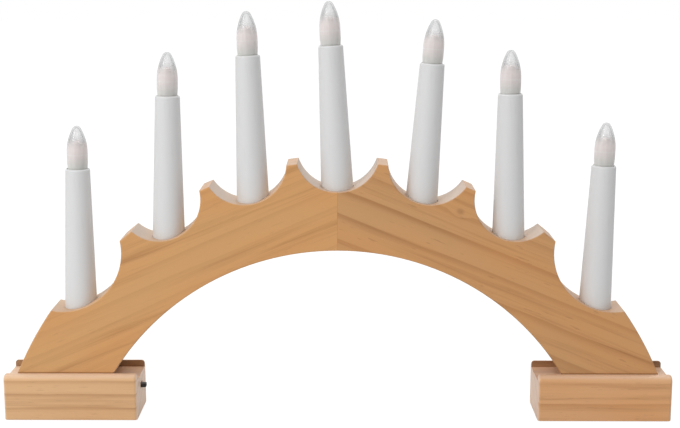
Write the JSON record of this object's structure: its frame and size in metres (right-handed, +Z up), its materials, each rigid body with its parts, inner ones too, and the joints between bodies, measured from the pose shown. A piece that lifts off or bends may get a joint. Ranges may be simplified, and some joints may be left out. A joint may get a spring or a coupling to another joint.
{
  "type": "electric candle arch",
  "caption": "Scalloped wooden arch on two grooved block feet that carries slim electric candles with clear flame-shaped caps; a slide switch and cell box sit in one foot.",
  "frame": {"origin": "on the table, midway between the two feet and midway through their depth", "axes": "+X along the arch towards the foot without the switch, front face towards -Y, +Z up"},
  "size_m": [0.4, 0.036, 0.2482],
  "materials": {
    "pine": "satin",
    "dowel_wood": "matte",
    "candle_plastic": "satin",
    "holder_plastic": "matte",
    "clear_cap": "gloss",
    "lamp_resin": "gloss",
    "screw_steel": "satin",
    "black_plastic": "satin",
    "cell_can": "satin",
    "contact_steel": "satin",
    "wire_cover": "satin",
    "resistor_body": "satin"
  },
  "bodies": {
    "root": {"arch_dowels": "dowel_wood", "arch_left": "pine", "arch_right": "pine", "battery_box": "black_plastic", "battery_cell_1": "cell_can", "battery_cell_2": "cell_can", "battery_contacts": "contact_steel", "battery_leads": "wire_cover", "box_screws": "screw_steel", "candle_tube_1": "candle_plastic", "candle_tube_2": "candle_plastic", "candle_tube_3": "candle_plastic", "candle_tube_4": "candle_plastic", "candle_tube_5": "candle_plastic", "candle_tube_6": "candle_plastic", "candle_tube_7": "candle_plastic", "channel_strip_left": "pine", "channel_strip_right": "pine", "flame_cap_1": "clear_cap", "flame_cap_2": "clear_cap", "flame_cap_3": "clear_cap", "flame_cap_4": "clear_cap", "flame_cap_5": "clear_cap", "flame_cap_6": "clear_cap", "flame_cap_7": "clear_cap", "foot_left": "pine", "foot_right": "pine", "foot_screws": "screw_steel", "harness_minus": "wire_cover", "harness_plus": "wire_cover", "lamp_holder_1": "holder_plastic", "lamp_holder_2": "holder_plastic", "lamp_holder_3": "holder_plastic", "lamp_holder_4": "holder_plastic", "lamp_holder_5": "holder_plastic", "lamp_holder_6": "holder_plastic", "lamp_holder_7": "holder_plastic", "led_1": "lamp_resin", "led_2": "lamp_resin", "led_3": "lamp_resin", "led_4": "lamp_resin", "led_5": "lamp_resin", "led_6": "lamp_resin", "led_7": "lamp_resin", "series_resistor": "resistor_body", "switch_base": "black_plastic", "switch_frame": "contact_steel", "switch_terminals": "contact_steel"},
    "switch": {"switch_lever": "black_plastic"},
    "door": {"battery_door": "black_plastic"}
  },
  "joints": [
    {"name": "switch_slide", "type": "slide", "parent": "root", "child": "switch", "axis": [0, 1, 0], "range_m": [0, 0.0026]},
    {"name": "battery_door_pull", "type": "slide", "parent": "root", "child": "door", "axis": [0, 0, -1], "range_m": [0, 0.012]}
  ]
}
